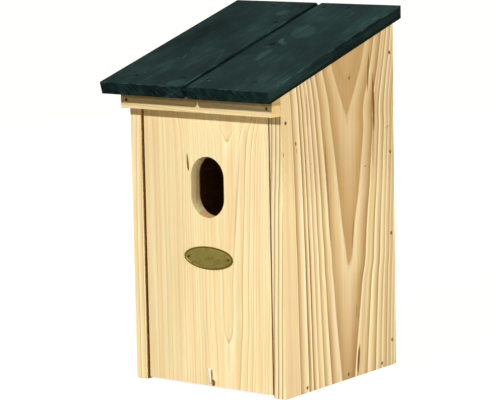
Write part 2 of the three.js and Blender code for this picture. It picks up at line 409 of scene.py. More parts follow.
@dataclass(frozen=True)
class Cut:
    """How a board was sawn from the log, in millimetres.

    A place's distance is how far it lies from the log's middle, less what the rings have climbed.

    Attributes:
        face: a point of the board's outer face, from which the other places are measured.
        across: the frame's direction across that face.
        inward: the direction into the board.
        middle: pairs of height along the grain and where the log's middle lies across the face.
        rise: pairs of height along the grain and the distance that the rings have climbed there.
        before: the rings on the side where across is smaller, as pairs of distance and darkness.
        after: the rings on the other side, or none where they are the same.
        depth: how deep the log's middle lies under the face.
        spread: how far across the arches of the rings reach.
        slant: how much the rings shift across for each unit of depth.
        wander: how far the grain strays over the board's length.
        ripple: how far it strays over a short stretch.
        seed: what tells one board's chances from another's.
        tones: pairs of distance and how brown the wood is there, or none for chance clouds.
        edge_rings: pairs of height along the grain and the depth at which a ring ends on the board's edge,
            or none where the edge goes on from the face.
        knots: the knots in the face.
        spots: the small marks in the face, some of them painted shade.
    """

    face: Point
    across: Point
    inward: Point
    middle: Pairs
    rise: Pairs
    before: Pairs
    after: Pairs = ()
    depth: float = 8.0
    spread: float = 28.0
    slant: float = 0.0
    wander: float = 4.0
    ripple: float = 1.2
    seed: float = 1.0
    tones: Pairs = ()
    edge_rings: Pairs = ()
    knots: tuple[Knot, ...] = ()
    spots: tuple[Spot, ...] = ()

    @property
    def axes(self) -> tuple[Vector, Vector, Vector]:
        """The directions across, inward and along the grain."""
        across, inward = Vector(self.across), Vector(self.inward)
        return across, inward, across.cross(inward)

    @property
    def turn(self) -> Matrix:
        """The rotation from the frame's axes to the cut's own."""
        return Matrix(self.axes)


class Grain:
    """The growth rings and the fibres that a cut shows, as shader values.

    The constants in threes are wavelengths across, into and along the grain, in millimetres. On a board's
    edge with rings of its own, those have one mean width, and their count stays clear of the face's.

    Attributes:
        late: the dark wood of each ring, from 0 to 1.
        line: the thin edge where a ring ends.
        pale: the light wood where the next ring starts.
        dark: how dark the ring is as a whole.
        core: the dark middles of the knots, or None.
        fibre: fine lines along the grain.
        streak: longer and wider ones.
        cloud: slow changes of tone.
        brown: how brown the wood is, from 0 to 1.
        blush: strips of a second hue along the grain, from 0 to 1.
    """

    STRAY = (58.0, 58.0, 210.0)
    RIPPLE = (9.0, 12.0, 64.0)
    UNEVEN = (16.0, 16.0, 110.0)
    FIBRE = (0.5, 0.5, 26.0)
    STREAK = (2.3, 4.0, 130.0)
    CLOUD = (34.0, 34.0, 95.0)
    STRIP = (6.0, 12.0, 420.0)
    RAGGED = (1.6, 1.6, 5.0)
    EDGE_RING = 3.9
    EDGE_COUNT = 40
    EDGE_DARK = 0.9

    def __init__(self, shader: Shader, cut: Cut) -> None:
        """Works the figure out for one board.

        Args:
            shader: the board's shader.
            cut: how it was sawn.
        """
        self.shader = shader
        self.cut = cut
        shift = -(cut.turn @ Vector(cut.face))
        placed = shader.node("ShaderNodeMapping", {"vector_type": "POINT"}, {
            "Vector": shader.place(), "Location": shift, "Rotation": cut.turn.to_euler("XYZ")})
        self.where = shader.value(placed)
        self.across, self.deep, self.along = shader.parts(self.where)
        self.core: Optional[Value] = None
        self.brown: Optional[Value] = None
        count, self.dark = self._count()
        phase = shader.maths("FRACT", count)
        fall = shader.smooth(phase, 1.0, 0.93)
        self.late = shader.smooth(phase, 0.35, 0.92) * fall
        self.line = shader.smooth(phase, 0.78, 0.96) * fall
        self.pale = shader.smooth(phase, 0.45, 0.02)
        self.fibre = shader.noise(self.where, self.FIBRE, cut.seed + 3, detail=3, roughness=0.6)
        self.streak = shader.noise(self.where, self.STREAK, cut.seed + 4, detail=3, roughness=0.62)
        self.cloud = shader.noise(self.where, self.CLOUD, cut.seed + 5, detail=2)
        if self.brown is None:
            self.brown = shader.smooth(self.cloud, 0.38, 0.72)
        strips = shader.noise(self.where, self.STRIP, cut.seed + 7, detail=2)
        self.blush = shader.smooth(strips, 0.42, 0.62)

    def _count(self) -> tuple[Value, Value]:
        """Lays the rings through the board.

        Returns:
            How many rings lie between the log's middle and a place, and how dark that ring is.
        """
        shader, cut = self.shader, self.cut
        stray = shader.noise(self.where, self.STRAY, cut.seed, detail=1) - 0.5
        ripple = shader.noise(self.where, self.RIPPLE, cut.seed + 1, detail=2) - 0.5
        straight = sum(across for _, across in cut.middle) / len(cut.middle)
        off = self.across - straight
        near = 1 / (1 + off * off / (cut.spread * 1.5) ** 2)
        off = off - (shader.curve(self.along, cut.middle) - straight) * near + self.deep * cut.slant
        off = off + stray * cut.wander + ripple * cut.ripple
        under = self.deep + cut.depth
        radius = shader.maths("SQRT", off * off + under * under)
        arch = 1 / (1 + off * off / cut.spread ** 2)
        distance = radius - shader.curve(self.along, cut.rise) * arch
        for knot in cut.knots:
            distance = distance + self._bulge(knot)
        if cut.tones:
            self.brown = shader.curve(distance, cut.tones, straight=True)
        side = shader.smooth(off, -5.0, 5.0)
        count, dark = [self._per_side(distance, side, which) for which in (0, 1)]
        if cut.edge_rings:
            edge = shader.mark("edge")
            reach = self.deep + ripple * 0.6 - shader.curve(self.along, cut.edge_rings)
            count = count + (reach / self.EDGE_RING + self.EDGE_COUNT - count) * edge
            dark = dark + (self.EDGE_DARK - dark) * edge
            self.brown = self.brown * (1 - edge)
        uneven = shader.noise(self.where, self.UNEVEN, cut.seed + 6, detail=1)
        return count, dark * (0.45 + uneven * 1.1)

    def _per_side(self, distance: Value, side: Value, which: int) -> Value:
        """Looks a distance up in the rings of both sides.

        Args:
            distance: how far from the log's middle.
            side: 0 where across is smaller, 1 on the other side.
            which: 0 for the rings' count, 1 for how dark they are.

        Returns:
            What the side's rings give.
        """
        found = []
        for rings in filter(None, (self.cut.before, self.cut.after)):
            points = [(reach, (number, dark)[which]) for number, (reach, dark) in enumerate(rings)]
            found.append(self.shader.curve(distance, points, straight=True))
        return found[0] + (found[1] - found[0]) * side if self.cut.after else found[0]

    def _bulge(self, knot: Knot) -> Value:
        """Adds a knot's own dark middle to the core.

        Args:
            knot: the knot.

        Returns:
            How far the rings bulge round it.
        """
        shader = self.shader
        sideways = self.across - knot.across
        lengthwise = (self.along - knot.along) / 1.5
        square = sideways * sideways + lengthwise * lengthwise
        distance = shader.maths("SQRT", square)
        middle = shader.smooth(distance, knot.radius * 1.25, knot.radius * 0.6) * knot.dark
        self.core = middle if self.core is None else shader.maths("MAXIMUM", self.core, middle)
        return knot.pull / (1 + square / knot.reach ** 2)

    def spots(self) -> Value:
        """Draws all the spots with ragged edges.

        Returns:
            Their amounts together.
        """
        shader = self.shader
        ragged = shader.noise(self.where, self.RAGGED, self.cut.seed + 9, detail=2) - 0.5
        total = self.across * 0
        for spot in self.cut.spots:
            height = self.along - spot.along
            sideways = (self.across - spot.across - height * spot.lean) / spot.wide
            lengthwise = height / spot.tall
            square = sideways * sideways + lengthwise * lengthwise + ragged * 0.9
            total = total + shader.smooth(square, 1.15, 0.35) * spot.amount
        return total


KNOT_BROWN = display(96, 52, 26)
PITCH_AND_SHADE_BROWN = display(122, 80, 6)
EDGE_PALE = 0.35


@dataclass(frozen=True)
class PineFinish:
    """Planed, bare softwood.

    Attributes:
        early: the wood between the rings' dark parts.
        cream: the palest wood, where a ring starts.
        late: the rings' dark parts.
        heart: the browner wood.
        blush: the second hue, in strips along the grain.
        contrast: how strongly the dark parts show.
        lines: how strongly the thin ends of the rings show.
        warmth: how much of the heart's tone there is.
        sawn_and_shade: what darkens the unplaned side, which is the inner one: the rougher sawn wood, and
            painted shade inside the box.
        streaks: how much the long streaks change the tone.
        fibres: how much the fibres do.
        relief: how tall the grain stands, in millimetres.
        gloss: the specular level.
    """

    SAW = (30.0, 30.0, 1.3)

    early: Colour
    cream: Colour
    late: Colour
    heart: Colour
    blush: Colour
    contrast: float = 0.6
    lines: float = 0.4
    warmth: float = 0.35
    sawn_and_shade: Colour = display(190, 158, 108)
    streaks: float = 0.32
    fibres: float = 0.18
    relief: float = 0.09
    gloss: float = 0.35

    def material(self, name: str, cut: Cut) -> bpy.types.Material:
        """The finish on a board.

        Args:
            name: the material's name.
            cut: how the board was sawn.

        Returns:
            The material.
        """
        shader = Shader.named(name)
        grain = Grain(shader, cut)
        ends, sawn = shader.mark("end_grain"), shader.mark("sawn")
        colour = shader.blend(grain.blush, self.early, self.blush)
        colour = shader.blend(grain.brown * self.warmth, colour, self.heart)
        pale = grain.pale * shader.maths("MINIMUM", grain.dark, 1.0)
        if cut.edge_rings:
            pale = shader.maths("MAXIMUM", pale, shader.mark("edge") * EDGE_PALE)
        colour = shader.blend(pale * 0.9, colour, self.cream)
        strength = grain.dark * (grain.late * self.contrast + grain.line * self.lines) * (1 + ends * 0.3)
        colour = shader.blend(shader.maths("MINIMUM", strength, 1.0), colour, self.late)
        colour = shader.shade(colour, 1 - self.streaks / 2 + grain.streak * self.streaks)
        colour = shader.shade(colour, 1 - self.fibres / 2 + grain.fibre * self.fibres)
        colour = shader.blend(ends * 0.6, colour, self.heart, Blend.MULTIPLY)
        saw = self._saw_marks(shader, grain)
        # The inner faces are multiplied darker: partly the sawn wood's own tone, partly painted shade inside
        # the box.
        colour = shader.blend(sawn * (0.75 + saw * 0.25), colour, self.sawn_and_shade, Blend.MULTIPLY)
        if grain.core is not None:
            colour = shader.blend(grain.core, colour, KNOT_BROWN)
        if cut.spots:
            # Spots are drawn in this brown: resin and marks in the wood, and some painted shade.
            colour = shader.blend(grain.spots(), colour, PITCH_AND_SHADE_BROWN)
        height = grain.fibre * 0.5 + grain.late * 0.35 - sawn * saw * 2.5
        return shader.finish(
            Base_Color=colour,
            Roughness=0.56 + grain.fibre * 0.16 + sawn * 0.15,
            Normal=shader.bump(height, self.relief),
            Specular_IOR_Level=self.gloss,
        )

    def _saw_marks(self, shader: Shader, grain: Grain) -> Value:
        """Fine ridges across the grain, uneven, as a band saw leaves them."""
        beat = shader.noise(grain.where, self.SAW, grain.cut.seed + 8, detail=2, roughness=0.7)
        return shader.smooth(beat, 0.35, 0.7)


@dataclass(frozen=True)
class StainFinish:
    """Dark green stain that the wood shows through.

    Attributes:
        deep: where the stain lies thick.
        body: its main tone.
        thin: where it has been rubbed or the wood took little of it.
        lines: how much the rings show through.
        tilt: how the strokes of the saw lean on the ends.
        relief: how tall the grain stands, in millimetres.
        gloss: the specular level.
    """

    MOTTLE = (10.0, 10.0, 20.0)
    BRUSH = (2.0, 2.0, 46.0)
    PATCH = (40.0, 40.0, 70.0)
    STROKE = (7.0, 0.9, 7.0)

    deep: Colour
    body: Colour
    thin: Colour
    lines: float = 0.12
    tilt: float = math.radians(-38)
    relief: float = 0.14
    gloss: float = 0.05

    def material(self, name: str, cut: Cut) -> bpy.types.Material:
        """The finish on a board.

        Args:
            name: the material's name.
            cut: how the board was sawn.

        Returns:
            The material.
        """
        shader = Shader.named(name)
        grain = Grain(shader, cut)
        ends, arris, edge = shader.mark("end_grain"), shader.mark("arris"), shader.mark("edge")
        mottle = shader.noise(grain.where, self.MOTTLE, cut.seed + 11, detail=5, roughness=0.68)
        brush = shader.noise(grain.where, self.BRUSH, cut.seed + 12, detail=4, roughness=0.6)
        patch = shader.noise(grain.where, self.PATCH, cut.seed + 13, detail=2)
        tone = mottle * 0.36 + brush * 0.22 + patch * 0.42
        tilted = shader.node("ShaderNodeMapping", {"vector_type": "POINT"},
                             {"Vector": grain.where, "Rotation": (0, 0, self.tilt)})
        strokes = shader.noise(shader.value(tilted), self.STROKE, cut.seed + 14, detail=2) - 0.5
        tone = tone + grain.dark * grain.line * self.lines + ends * (strokes * 0.9 - 0.16)
        low = shader.smooth(grain.deep, 6.5, 9.2)
        tone = tone + edge * (brush * 0.3 - 0.28 - low * 0.3)
        if cut.spots:
            tone = tone + grain.spots()
        colour = shader.ramp(tone, [(0.26, self.deep), (0.52, self.body), (0.92, self.thin)])
        worn = arris * shader.smooth(mottle, 0.46, 0.62) * shader.smooth(grain.deep, 4.0, 2.0)
        colour = shader.blend(worn * 0.6, colour, self.thin)
        if grain.core is not None:
            colour = shader.blend(grain.core, colour, self.deep)
        height = grain.fibre * 0.6 + brush * 0.8 + grain.line * 0.6 + ends * grain.line
        return shader.finish(
            Base_Color=colour,
            Roughness=0.58 + mottle * 0.2 + ends * 0.12,
            Normal=shader.bump(height, self.relief),
            Specular_IOR_Level=self.gloss,
        )


@dataclass(frozen=True)
class MetalFinish:
    """A metal with stains and fine scratches.

    Attributes:
        bright: its clean tone.
        dull: its stained tone.
        roughness: how rough the clean metal is.
        cover: how much of it is stained, from 0 to 1.
        grain: the size of the stains in millimetres.
        metallic: 1 for bare metal, less for a coated one.
        rim: the tone of the faces marked as rim, or none.
        relief: how tall the stains stand, in millimetres.
    """

    bright: Colour
    dull: Colour
    roughness: float
    cover: float
    grain: float
    metallic: float = 1.0
    rim: Optional[Colour] = None
    relief: float = 0.03

    def material(self, name: str) -> bpy.types.Material:
        """The finish on any piece.

        Args:
            name: the material's name.

        Returns:
            The material.
        """
        shader = Shader.named(name)
        where = shader.place()
        stain = shader.noise(where, (self.grain,) * 3, 1.0, detail=5, roughness=0.65)
        fine = shader.noise(where, (self.grain / 6,) * 3, 2.0, detail=3, roughness=0.7)
        spread = shader.smooth(stain * 0.75 + fine * 0.25, 0.62 - 0.3 * self.cover, 0.8 - 0.3 * self.cover)
        colour = shader.blend(spread, self.bright, self.dull)
        if self.rim:
            colour = shader.blend(shader.mark("rim") * (0.45 + fine * 0.7), colour, self.rim)
        return shader.finish(
            Base_Color=colour,
            Metallic=self.metallic,
            Roughness=self.roughness + spread * 0.22 + fine * 0.08,
            Normal=shader.bump(stain * 0.6 + fine * 0.4, self.relief),
        )


class Shape:
    """A mesh in the making, in millimetres, that ends as a piece of the object."""

    def __init__(self, flat: Sequence[Vector] = ()) -> None:
        """Starts empty. Faces square to one of the flat directions are shaded flat."""
        self.mesh = bmesh.new()
        self.flat = flat

    @classmethod
    def of_node(cls, node: str, flat: Sequence[Vector]) -> "Shape":
        """A merged copy of a CAD node's mesh, with the triangles of each flat face joined.

        Args:
            node: the CAD node.
            flat: the directions of the faces that are shaded flat.

        Returns:
            The shape.
        """
        shape = cls(flat)
        bm = shape.mesh
        bm.from_mesh(frame["nodes"][node].data)
        bmesh.ops.scale(bm, vec=(1 / MM,) * 3, verts=bm.verts)
        bmesh.ops.remove_doubles(bm, verts=bm.verts, dist=CAD_DOUBLES)
        bmesh.ops.dissolve_limit(bm, angle_limit=FLAT_TURN, use_dissolve_boundaries=False,
                                 verts=bm.verts, edges=bm.edges, delimit=set())
        return shape

    def ease(self, width: float, shortest: float) -> None:
        """Rounds the sharp edges over, and marks the faces that this makes as arris.

        Args:
            width: how far the rounding reaches, in millimetres.
            shortest: edges under this length, such as those of small holes, stay sharp.
        """
        bm = self.mesh
        arris = bm.faces.layers.float.new("arris")
        sharp = [edge for edge in bm.edges
                 if edge.calc_length() > shortest and edge.calc_face_angle(0.0) > SHARP_TURN]
        eased = bmesh.ops.bevel(bm, geom=sharp, offset=width, offset_type="OFFSET", segments=2,
                                profile=0.5, affect="EDGES", material=-1, clamp_overlap=True)
        for face in eased["faces"]:
            face[arris] = 1.0
        bm.normal_update()

    def mark(self, name: str, test: Callable[[bmesh.types.BMFace], bool]) -> None:
        """Gives the faces that pass a test the number 1 under that name, and the others 0."""
        layer = self.mesh.faces.layers.float.new(name)
        for face in self.mesh.faces:
            face[layer] = 1.0 if test(face) else 0.0

    def piece(self, name: str, body: str, slot: str, material: bpy.types.Material,
              nodes: Sequence[str], smooth_under: float = 20.0) -> bpy.types.Object:
        """Ends the shape as a piece of the object that stands for CAD nodes.

        Args:
            name: the piece's name.
            body: the body that it rides on.
            slot: the record's material slot; not used.
            material: its finish.
            nodes: the CAD nodes that it stands for.
            smooth_under: edges that turn less than this many degrees are shaded smooth.

        Returns:
            The object.
        """
        bm = self.mesh
        bmesh.ops.scale(bm, vec=(MM,) * 3, verts=bm.verts)
        data = bpy.data.meshes.new(name)
        bm.to_mesh(data)
        bm.free()
        kept_normals = data.attributes.get("custom_normal")
        if kept_normals:
            data.attributes.remove(kept_normals)
        data.set_sharp_from_angle(angle=math.radians(smooth_under))
        for face in data.polygons:
            face.use_smooth = all(abs(face.normal.dot(direction)) < SQUARE_ON for direction in self.flat)
        data.materials.append(material)
        item = bpy.data.objects.new(name, data)
        bpy.context.scene.collection.objects.link(item)
        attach(item, body)
        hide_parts(*nodes)
        return item


@dataclass(frozen=True)
class Board:
    """One board: the node whose shape it has, and how it was cut and finished.

    Attributes:
        arris: how far its edges are eased, in millimetres.
        smallest: the length under which an edge stays sharp.
        facing: the cosine from which a face counts as an end or as an edge.
        square: the cosine from which it counts as sawn.
    """

    name: str
    node: str
    body: str
    slot: str
    cut: Cut
    finish: Union[PineFinish, StainFinish]
    arris: float = 0.45
    smallest: float = 1.8
    facing: float = 0.8
    square: float = 0.9

    def build(self) -> bpy.types.Object:
        """Eases the board's edges, marks its faces and dresses it.

        Returns:
            The piece.
        """
        shape = Shape.of_node(self.node, self.cut.axes)
        shape.ease(self.arris, self.smallest)
        across, inward, along = self.cut.axes
        shape.mark("end_grain", lambda face: abs(face.normal.dot(along)) > self.facing)
        shape.mark("sawn", lambda face: face.normal.dot(inward) > self.square)
        shape.mark("edge", lambda face: abs(face.normal.dot(across)) > self.facing)
        material = self.finish.material(self.name, self.cut)
        return shape.piece(self.name, self.body, self.slot, material, [self.node])


PALE_PINE = PineFinish(
    early=display(246, 227, 178), cream=display(251, 238, 197), late=display(206, 164, 92),
    heart=display(240, 213, 154), blush=display(243, 216, 166), contrast=0.16, lines=0.68, warmth=0.6,
)
STRIPED_PINE = PineFinish(
    early=display(240, 217, 163), cream=display(253, 241, 205), late=display(166, 124, 66),
    heart=display(186, 145, 86), blush=display(236, 207, 165), contrast=0.85, lines=0.2, warmth=0.95,
    sawn_and_shade=display(230, 200, 146),
)
GREEN_STAIN = StainFinish(
    deep=display(5, 20, 19), body=display(32, 53, 51), thin=display(72, 104, 99),
)
DARK_STEEL = MetalFinish(
    bright=display(136, 106, 70), dull=display(88, 62, 34), roughness=0.5, cover=0.7, grain=1.2,
    metallic=0.3,
)
STAINED_STEEL = MetalFinish(
    bright=display(36, 58, 55), dull=display(26, 44, 42), roughness=0.6, cover=0.5, grain=1.0,
    metallic=0.0,
)
ZINC = MetalFinish(
    bright=display(242, 238, 226), dull=display(176, 168, 150), roughness=0.34, cover=0.25, grain=1.5,
    metallic=0.8,
)
AGED_BRASS = MetalFinish(
    bright=display(160, 148, 84), dull=display(132, 118, 48), roughness=0.42, cover=0.5, grain=7.0,
    rim=display(112, 82, 26),
)
DARK_BRASS = MetalFinish(
    bright=display(110, 84, 40), dull=display(60, 40, 20), roughness=0.4, cover=0.6, grain=1.0,
)


@dataclass
class Carcass:
    """The fixed boards under the roof: two sides, the back, the floor and the lintel."""

    half_width: float = 74.0
    back: float = 76.75
    lintel_front: float = -87.75

    def boards(self) -> list[Board]:
        """Says how each board was cut.

        Returns:
            The boards.
        """
        right = Cut(
            face=(self.half_width, 0, 0), across=(0, 1, 0), inward=(-1, 0, 0), seed=4,
            middle=((-10, 8.4), (30, 8.6), (60, 9.1), (80, 9.9), (92, 10.9), (106, 11.2), (122, 11),
                (154, 12.2), (178, 12.2), (201, 11.7), (215, 10.2), (232, 10.8), (250, 11.1), (300, 14)),
            rise=((-10, -15.7), (30, -11.4), (60, -7.3), (80, -4.2), (92, -0.8), (106, 1), (122, 3.8),
                (154, 11), (178, 17), (201, 23.9), (215, 26.5), (232, 37.5), (250, 55.6), (300, 103)),
            before=((-110, 0.12), (-20.3, 0.18), (5.9, 0.26), (24.2, 0.6), (33.9, 0.8), (41.5, 0.7),
                (47.7, 0.55), (53.9, 1.15), (59.2, 1.1), (70.2, 0.7), (71.4, 0.03), (112, 0.03)),
            after=((-110, 0.12), (-20.3, 0.18), (5.9, 0.26), (24.3, 0.95), (30, 0.05), (35.7, 0.95),
                (44.7, 0.75), (51.1, 0.55), (57.5, 0.5), (62.5, 0.5), (66.2, 0.5), (70.5, 0.5), (112, 0.3)),
            tones=((-110, 0.6), (-45, 0.75), (-37, 0.85), (-28, 0.76), (-21, 0.88), (-20.4, 0.88),
                (-19.4, 0.42), (-10, 0.45), (-2, 0.72), (5.6, 0.92), (6.5, 0.3), (13, 0.4), (20, 0.56),
                (23.9, 0.64), (25, 0.3), (28, 0.2), (31.5, 0.3), (34.2, 0.6), (35.5, 0.12), (40.5, 0.2),
                (42, 0.05), (50, 0.05), (53, 0.4), (61, 0.4), (64, 0.08), (70, 0.2), (112, 0.2)),
            edge_rings=((-10, 7.8), (26, 7), (61, 6.5), (105, 5.25), (149, 4.1), (175, 2.8), (240, 1)),
            depth=5, spread=33.1, slant=-1.3, wander=0.5, ripple=0.6,
            knots=(Knot(14.3, 240.2, 1.1, 1.5, 5, 0.9),),
            spots=(Spot(-58, 196.5, 1.1, 1.8, 0.75), Spot(-57, 191, 0.5, 2.2, 0.5, 0.4),
                Spot(-74, 189.5, 0.8, 2.4, 0.5), Spot(-45.5, 181.5, 0.9, 0.8, 0.45),
                Spot(-38, 178.5, 0.8, 0.8, 0.4), Spot(35.5, 168, 1.8, 0.6, 0.55),
                Spot(47.6, 218, 1.8, 24, 0.9, -0.02), Spot(46.8, 192, 0.9, 30, 0.5, 0.03),
                Spot(40.6, 242, 1.3, 17, 0.7, 0.09), Spot(22.6, 13, 1.8, 14, 1, 0.13),
                Spot(21, 53, 1, 7, 0.45), Spot(67, 196, 2.4, 1.6, 0.25, 0.5),
                Spot(-17, 155, 1.5, 48, 0.4, -0.07), Spot(-41.5, 90, 0.9, 42, 0.7, -0.035),
                Spot(-44.5, 40, 0.9, 40, 0.4, -0.05), Spot(-47, 95, 0.8, 34, 0.3, -0.03),
                Spot(-42.6, 220, 0.9, 16, 0.4, -0.05), Spot(16.5, 113, 1.2, 18, 0.5, 0.11),
                # Spot(0, 250) is painted shade: the side grows darker towards the top.
                Spot(0, 250, 150, 110, 0.16)),
        )
        left = Cut(
            face=(-self.half_width, 0, 0), across=(0, -1, 0), inward=(1, 0, 0), seed=11,
            middle=((-10, -20), (150, -24), (300, -18)),
            rise=((-10, -14), (120, 4), (200, 18), (300, 50)), before=grown(11, 7, -60, 110),
            slant=1.1, wander=7, knots=(Knot(36, 122, 4.2, 9, 11, 0.75),),
        )
        back = Cut(
            face=(0, self.back, 0), across=(-1, 0, 0), inward=(0, -1, 0), seed=17,
            middle=((-10, -16), (150, -12), (300, -20)),
            rise=((-10, -6), (140, 4), (220, 20), (300, 40)), before=grown(17, 6, -50, 110),
            slant=0.6, wander=7, knots=(Knot(24, 92, 3.6, 8, 10, 0.7),),
        )
        floor = Cut(
            face=(0, 0, 0), across=(0, 1, 0), inward=(0, 0, 1), seed=23, middle=((-90, 20), (90, 26)),
            rise=((-90, -4), (90, 8)), before=grown(23, 5.5, -10, 120), depth=20, slant=0.5, wander=6,
        )
        lintel = Cut(
            face=(0, self.lintel_front, 0), across=(0, 0, 1), inward=(0, 1, 0), seed=29,
            middle=((-90, 194), (90, 199)), rise=((-90, -3), (90, 3)), before=grown(29, 3.6, 0, 60),
            depth=12, slant=1.2, wander=3, ripple=2,
            # Painted shade: two dark bands along the lintel's top, under the roof's overhang.
            spots=(Spot(231, 0, 3.4, 300, 0.5), Spot(226, 0, 6, 300, 0.14)),
        )
        return [
            Board("right_side", "side_panel_right", "housing", "pine_side", right, STRIPED_PINE),
            # The left side's and the back's inner faces get their own darkening: sawn wood with painted
            # shade.
            Board("left_side", "side_panel_left", "housing", "pine_side", left,
                  replace(PALE_PINE, sawn_and_shade=display(206, 178, 130))),
            Board("back_board", "back_panel", "housing", "pine_front", back,
                  replace(PALE_PINE, sawn_and_shade=display(164, 138, 102))),
            Board("floor_board", "floor_panel", "housing", "pine_front", floor, PALE_PINE),
            Board("lintel_strip", "lintel", "housing", "pine_front", lintel, PALE_PINE),
        ]


@dataclass
class Roof:
    """The two stained boards of the roof, placed by the top edge of their front end."""

    slope: float = ROOF_SLOPE
    front: float = -103.54
    top: float = 240.99

    def boards(self) -> list[Board]:
        """Says how each board was cut. Their grain runs up the slope.

        Returns:
            The boards.
        """
        inward = (0, math.sin(self.slope), -math.cos(self.slope))
        left = Cut(
            face=(0, self.front, self.top), across=(1, 0, 0), inward=inward, seed=37,
            middle=((-10, -11), (60, -15), (81, -16.7), (190, -20)),
            rise=((-10, 10), (40, 9.5), (60, 4.3), (81, 0), (190, -16)),
            before=((-40, 0.2), (-6, 0.2), (6.3, 1), (12, 0.3), (18, 0.2), (25, 0.35), (33, 0.2), (41, 0.3),
                (50, 0.2), (80, 0.3)),
            after=((-40, 0.2), (-6, 0.2), (6.3, 1), (12, 0.3), (18, 0.2), (25, 0.35), (60, 0.3)),
            depth=6, slant=0.9, wander=3, knots=(Knot(-9, 141, 2.2, 5, 8, 0.9),),
            # Spot(0.8, 90) is painted shade in the groove between the roof boards.
            spots=(Spot(-10.5, 6.5, 9, 8, 0.12), Spot(-17, 162, 6, 8, 0.14), Spot(0.8, 90, 1.6, 300, -0.2),
                Spot(-54.5, 24, 0.9, 1, 0.3), Spot(-42, 60, 1.2, 6, 0.16, -0.2),
                Spot(-47, 78, 1, 8, 0.12, -0.3), Spot(-52, 140, 24, 60, -0.05)),
        )
        right = Cut(
            face=(0, self.front, self.top), across=(1, 0, 0), inward=inward, seed=41,
            middle=((-10, 60), (190, 54)), rise=((-10, -4), (190, 8)),
            before=grown(41, 5, -10, 110, 0.45), depth=16, slant=1.4, wander=6,
            knots=(Knot(20.5, 94, 3, 8, 11, 0.85), Knot(27.5, 92, 1.8, 3, 6, 0.8)),
            # Spot(3.2, 90) is painted shade in the groove between the roof boards.
            spots=(Spot(3.2, 90, 1.6, 300, -0.2), Spot(23.5, 102, 2.6, 6, 0.2, -0.4),
                Spot(29, 97, 3, 4, 0.12, -0.5), Spot(19, 88, 5, 2.6, 0.12, 0.3),
                Spot(27.5, 72, 4, 14, 0.14, -0.1), Spot(15.7, 15.2, 1.2, 1.5, 0.35),
                Spot(31, 122, 12, 16, 0.09, -0.3), Spot(77, 157, 2, 5, 0.12), Spot(20, 45, 16, 30, 0.05),
                Spot(82, 175, 1.5, 95, -0.13)),
        )
        return [
            Board("left_roof_board", "roof_board_left", "housing", "green_roof", left, GREEN_STAIN, 0.7),
            Board("right_roof_board", "roof_board_right", "housing", "green_roof", right, GREEN_STAIN, 0.7),
        ]


@dataclass
class Fastener:
    """A turned nail or pin. Its dome is how far the head's middle stands above the rim."""

    shank: float
    head: float
    head_height: float
    dome: float
    point: float
    sides: int = 20

    def profile(self, length: float) -> list[tuple[float, float]]:
        """The outline that is turned.

        Args:
            length: the whole nail's length.

        Returns:
            Pairs of radius and depth, from the head's middle to the tip.
        """
        rim = self.head / 2
        shank = self.shank / 2
        crown = [(rim * share, self.dome * share ** 2) for share in (0.0, 0.35, 0.65, 0.85)]
        neck = self.head_height + (rim - shank) * 0.5
        return crown + [
            (rim * 0.97, self.dome + 0.05), (rim, self.dome + 0.14), (rim, self.head_height),
            (shank, neck), (shank, length - self.point), (shank * 0.25, length - 0.15), (0.0, length),
        ]

    def build(self, node: str, direction: Vector, slot: str,
              material: bpy.types.Material) -> bpy.types.Object:
        """Turns one nail on its node's axis.

        Args:
            node: the CAD nail's node.
            direction: which way it points.
            slot: the record's material slot; not used.
            material: its finish.

        Returns:
            The piece.
        """
        corners = [vertex.co / MM for vertex in frame["nodes"][node].data.vertices]
        depths = [corner.dot(direction) for corner in corners]
        start, end = min(depths), max(depths)
        low, high = [Vector(corner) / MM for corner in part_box(node)]
        middle = (low + high) / 2
        top = middle + direction * (start - middle.dot(direction))
        shape = Shape()
        bm = shape.mesh
        points = [bm.verts.new((radius, 0, -depth)) for radius, depth in self.profile(end - start)]
        edges = [bm.edges.new(pair) for pair in zip(points, points[1:])]
        bmesh.ops.spin(bm, geom=points + edges, cent=(0, 0, 0), axis=(0, 0, 1), angle=2 * math.pi,
                       steps=self.sides, use_merge=True)
        bmesh.ops.remove_doubles(bm, verts=bm.verts, dist=DOUBLES)
        bmesh.ops.recalc_face_normals(bm, faces=bm.faces)
        turn = Vector((0, 0, -1)).rotation_difference(direction).to_matrix().to_4x4()
        bmesh.ops.transform(bm, matrix=Matrix.Translation(top) @ turn, verts=bm.verts)
        body = frame["nodes"][node]["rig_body"]
        return shape.piece(f"{node}_turned", body, slot, material, [node], smooth_under=35)


@dataclass
class Fixings:
    """All the nails and pins, each on the axis of its CAD node."""

    brad: Fastener = field(default_factory=lambda: Fastener(1.7, 2.5, 0.8, 0.12, 2.2))
    roof_brad: Fastener = field(default_factory=lambda: Fastener(1.7, 3.7, 0.9, 0.15, 2.2))
    plate_pin: Fastener = field(default_factory=lambda: Fastener(1.1, 1.9, 0.5, 0.28, 1.4))
    roof_slope: float = ROOF_SLOPE

    def build(self) -> list[bpy.types.Object]:
        """Makes every nail and pin.

        Returns:
            The pieces.
        """
        steel = DARK_STEEL.material("nail_steel")
        stained = STAINED_STEEL.material("nail_stained")
        brass = DARK_BRASS.material("pin_brass")
        into_roof = Vector((0, math.sin(self.roof_slope), -math.cos(self.roof_slope)))
        back = Vector((0, 1, 0))
        pieces = []
        for node in sorted(frame["nodes"]):
            if node.startswith("roof_nail"):
                pieces.append(self.roof_brad.build(node, into_roof, "nail_painted", stained))
            elif node.startswith("lintel_nail"):
                pieces.append(self.brad.build(node, back, "nail_steel", steel))
            elif node.startswith("plate_pin"):
                pieces.append(self.plate_pin.build(node, back, "plate_brass", brass))
            elif "nail" in node:
                side = Side.LEFT if "_left" in node else Side.RIGHT
                pieces.append(self.brad.build(node, Vector((-side.value, 0, 0)), "nail_steel", steel))
        return pieces


